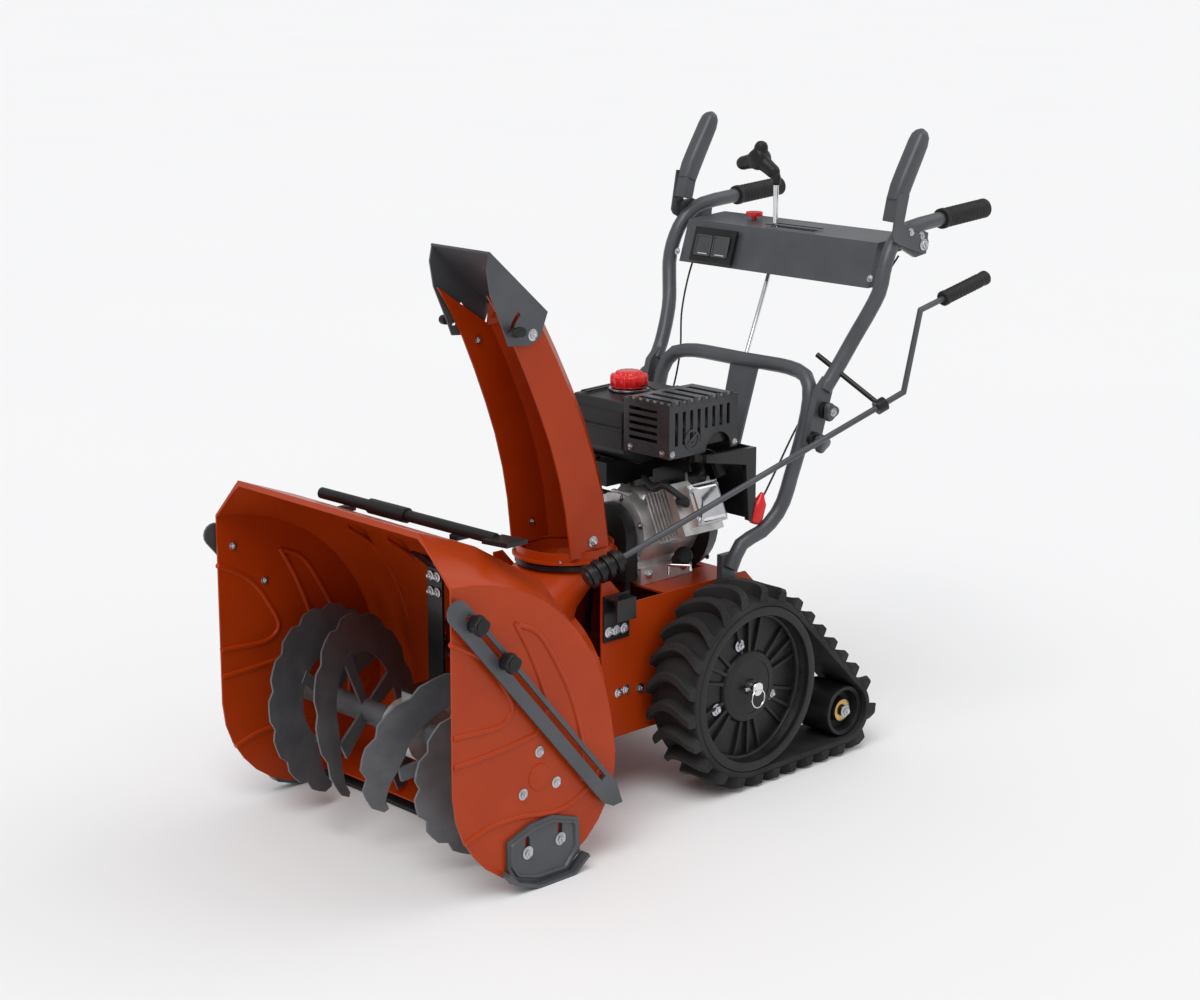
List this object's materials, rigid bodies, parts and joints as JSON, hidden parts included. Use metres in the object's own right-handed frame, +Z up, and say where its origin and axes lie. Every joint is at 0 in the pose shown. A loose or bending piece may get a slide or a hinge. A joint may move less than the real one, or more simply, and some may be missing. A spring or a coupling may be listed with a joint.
{
  "type": "snow blower",
  "caption": "Walk-behind two-stage snow blower on rubber tracks, with an auger housing, turning chute, engine and tube handles",
  "frame": {"origin": "on the ground under the middle of the machine's bounding box", "axes": "+X is the operator's left, -Y is the front where the auger housing opens, +Z is up"},
  "size_m": [0.64, 1.2591, 1.053],
  "materials": {
    "orange_paint": "gloss powder coat",
    "grey_paint": "satin powder coat",
    "black_paint": "satin powder coat",
    "black_plastic": "fine moulded grain",
    "black_rubber": "matte rubber",
    "steel": "zinc-plated steel",
    "cast_aluminium": "as-cast aluminium",
    "red_plastic": "glossy moulded plastic"
  },
  "bodies": {
    "frame": {"auger_housing": "orange_paint", "scraper_bar": "black_paint", "skid_shoe_left": "grey_paint", "skid_shoe_right": "grey_paint", "gearbox_brace": "black_paint", "auger_gearbox": "cast_aluminium", "auger_belt": "black_rubber", "belt_cover": "black_plastic", "chassis": "orange_paint", "engine_block": "cast_aluminium", "cylinder_head": "cast_aluminium", "muffler": "black_paint", "muffler_guard": "grey_paint", "fuel_tank": "black_plastic", "intake_box": "black_plastic", "recoil_cover": "black_plastic", "chute_ring": "black_plastic", "crank_bracket": "black_paint", "crank_eye": "black_paint", "lower_handle": "grey_paint", "upper_handle_left": "grey_paint", "upper_handle_right": "grey_paint", "grip_left": "black_rubber", "grip_right": "black_rubber", "console": "grey_paint", "lamp": "black_plastic", "rear_panel": "black_paint", "track_belt_left": "black_rubber", "track_belt_right": "black_rubber", "track_frame_left": "black_paint", "track_frame_right": "black_paint", "clutch_cable_left": "black_rubber", "clutch_cable_right": "black_rubber"},
    "auger": {"auger_shaft": "steel", "auger_left": "grey_paint", "auger_right": "grey_paint"},
    "impeller": {"impeller": "steel"},
    "crankshaft": {"crankshaft": "steel"},
    "chute": {"chute": "orange_paint"},
    "deflector": {"deflector": "grey_paint"},
    "crank": {"crank_rod": "grey_paint", "crank_grip": "black_rubber", "crank_worm": "black_plastic"},
    "drive": {"drive_axle": "steel", "drive_wheel_left": "black_plastic", "drive_wheel_right": "black_plastic"},
    "idler_left": {"idler_left": "black_plastic"},
    "idler_right": {"idler_right": "black_plastic"},
    "lever_left": {"control_lever_left": "grey_paint"},
    "lever_right": {"control_lever_right": "grey_paint"},
    "shift": {"shift_lever": "steel"},
    "shift_rod": {"shift_rod": "steel"},
    "drift_left": {"drift_cutter_left": "grey_paint"},
    "drift_right": {"drift_cutter_right": "grey_paint"},
    "tool": {"cleanout_tool": "black_plastic"},
    "cap": {"fuel_cap": "red_plastic"},
    "key": {"ignition_key": "red_plastic"},
    "recoil": {"recoil_handle": "black_plastic"},
    "knob_left": {"handle_knob_left": "black_plastic"},
    "knob_right": {"handle_knob_right": "black_plastic"}
  },
  "joints": [
    {"name": "impeller_spin", "type": "hinge", "parent": "frame", "child": "impeller", "pos_m": [0, -0.219, 0.178], "axis": [0, 1, 0], "continuous": true},
    {"name": "auger_spin", "type": "hinge", "parent": "frame", "child": "auger", "pos_m": [0, -0.455, 0.166], "axis": [1, 0, 0], "continuous": true},
    {"name": "crankshaft_spin", "type": "hinge", "parent": "frame", "child": "crankshaft", "pos_m": [0, -0.029, 0.405], "axis": [0, 1, 0], "continuous": true},
    {"name": "crank_turn", "type": "hinge", "parent": "frame", "child": "crank", "pos_m": [0.281, 0.307, 0.612], "axis": [0.2701, 0.8812, 0.3881], "range_deg": [-720, 720]},
    {"name": "chute_swivel", "type": "hinge", "parent": "frame", "child": "chute", "pos_m": [0, -0.139, 0.399], "axis": [0, 0, 1], "range_deg": [-90, 90]},
    {"name": "deflector_tilt", "type": "hinge", "parent": "chute", "child": "deflector", "pos_m": [0, -0.267, 0.772], "axis": [1, 0, 0], "range_deg": [0, 22]},
    {"name": "drive_spin", "type": "hinge", "parent": "frame", "child": "drive", "pos_m": [0, 0.064, 0.17], "axis": [1, 0, 0], "continuous": true},
    {"name": "idler_left_spin", "type": "hinge", "parent": "frame", "child": "idler_left", "pos_m": [0.198, 0.293, 0.076], "axis": [1, 0, 0], "continuous": true},
    {"name": "idler_right_spin", "type": "hinge", "parent": "frame", "child": "idler_right", "pos_m": [-0.198, 0.293, 0.076], "axis": [1, 0, 0], "continuous": true},
    {"name": "lever_left_squeeze", "type": "hinge", "parent": "frame", "child": "lever_left", "pos_m": [0.25, 0.437, 0.862], "axis": [1, 0, 0], "range_deg": [-60, 0], "stiffness_Nm_per_rad": 1.5, "springref_deg": 8.59},
    {"name": "lever_right_squeeze", "type": "hinge", "parent": "frame", "child": "lever_right", "pos_m": [-0.25, 0.437, 0.862], "axis": [1, 0, 0], "range_deg": [-60, 0], "stiffness_Nm_per_rad": 1.5, "springref_deg": 8.59},
    {"name": "shift_lever_swing", "type": "hinge", "parent": "frame", "child": "shift", "pos_m": [-0.036, 0.393, 0.806], "axis": [0, 1, 0], "range_deg": [0, 45]},
    {"name": "shift_rod_slide", "type": "slide", "parent": "frame", "child": "shift_rod", "axis": [-0.0235, 0.3995, 0.9164], "range_m": [-0.04, 0]},
    {"name": "drift_cutter_left_slide", "type": "slide", "parent": "frame", "child": "drift_left", "axis": [0, -0.6492, 0.7606], "range_m": [0, 0.25]},
    {"name": "drift_cutter_right_slide", "type": "slide", "parent": "frame", "child": "drift_right", "axis": [0, -0.6492, 0.7606], "range_m": [0, 0.25]},
    {"name": "tool_lift", "type": "slide", "parent": "frame", "child": "tool", "axis": [0, 0, 1], "range_m": [0, 0.08]},
    {"name": "fuel_cap_turn", "type": "hinge", "parent": "frame", "child": "cap", "pos_m": [-0.041, 0.045, 0.64], "axis": [0, 0, 1], "range_deg": [0, 120]},
    {"name": "key_pull", "type": "slide", "parent": "frame", "child": "key", "axis": [0, 0, 1], "range_m": [0, 0.03]},
    {"name": "recoil_pull", "type": "slide", "parent": "frame", "child": "recoil", "axis": [0, 1, 0], "range_m": [0, 0.35], "stiffness_N_per_m": 12},
    {"name": "handle_knob_left_turn", "type": "hinge", "parent": "frame", "child": "knob_left", "pos_m": [0.214, 0.255, 0.6], "axis": [1, 0, 0], "continuous": true},
    {"name": "handle_knob_right_turn", "type": "hinge", "parent": "frame", "child": "knob_right", "pos_m": [-0.214, 0.255, 0.6], "axis": [1, 0, 0], "continuous": true}
  ],
  "couplings": [
    {"joint": "auger_spin", "follows": "impeller_spin", "ratio": 0.1},
    {"joint": "chute_swivel", "follows": "crank_turn", "ratio": -0.125},
    {"joint": "idler_left_spin", "follows": "drive_spin", "ratio": 3.1364},
    {"joint": "idler_right_spin", "follows": "drive_spin", "ratio": 3.1364},
    {"joint": "shift_rod_slide", "follows": "shift_lever_swing", "m_per_rad": -0.05}
  ]
}
